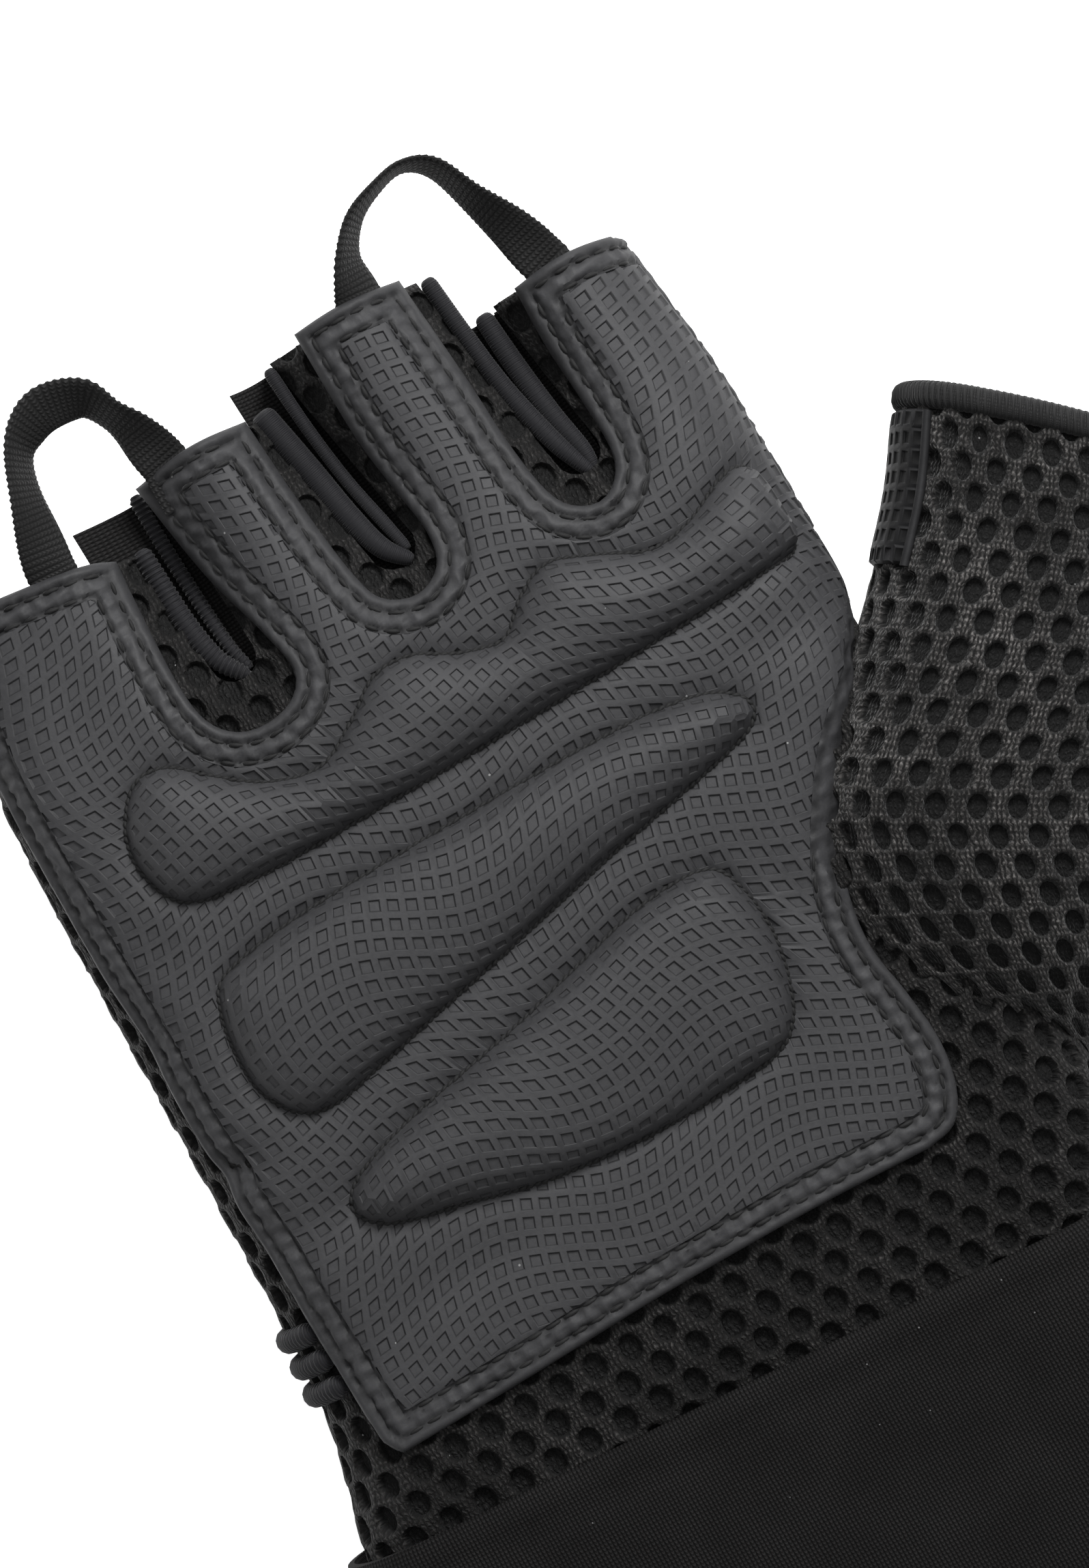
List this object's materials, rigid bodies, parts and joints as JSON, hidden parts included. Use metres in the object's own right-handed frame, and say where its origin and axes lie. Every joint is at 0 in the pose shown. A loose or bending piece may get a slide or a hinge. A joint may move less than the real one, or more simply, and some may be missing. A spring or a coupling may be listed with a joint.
{
  "type": "weightlifting glove",
  "caption": "Half-finger lifting glove for the right hand: embossed leather palm with foam pads, spacer mesh body, thumb stall, finger pull loops and a wide wrist wrap.",
  "frame": {"origin": "on the surface that the glove lies on, under the middle of the palm", "axes": "+X towards the thumb, +Y from the wrist to the fingertips, +Z out of the palm, which faces up"},
  "size_m": [0.1644, 0.2193, 0.0301],
  "materials": {
    "spacer_mesh": "open spacer mesh, charcoal, matt",
    "palm_leather": "synthetic leather embossed with small squares, dark grey, satin",
    "stretch_cloth": "fine ribbed stretch cloth, near black, slight sheen",
    "webbing": "woven webbing with cross ribs, charcoal, matt",
    "wrap_cloth": "fine vertical knit, near black, matt"
  },
  "bodies": {
    "root": {"back_mesh": "spacer_mesh", "palm_mesh": "spacer_mesh", "palm_panel": "palm_leather", "knuckle_pad": "palm_leather", "center_pad": "palm_leather", "heel_pad": "palm_leather", "gusset_little_ring": "stretch_cloth", "gusset_ring_middle": "stretch_cloth", "gusset_middle_index": "stretch_cloth", "pull_loop_index_middle": "webbing", "pull_loop_little_ring": "webbing", "thumb_stall": "spacer_mesh", "thumb_hem": "stretch_cloth", "thumb_patch": "palm_leather", "wrist_wrap": "wrap_cloth", "wrap_fastener": "webbing", "side_rib_1": "stretch_cloth", "side_rib_2": "stretch_cloth", "side_rib_3": "stretch_cloth"}
  },
  "joints": []
}
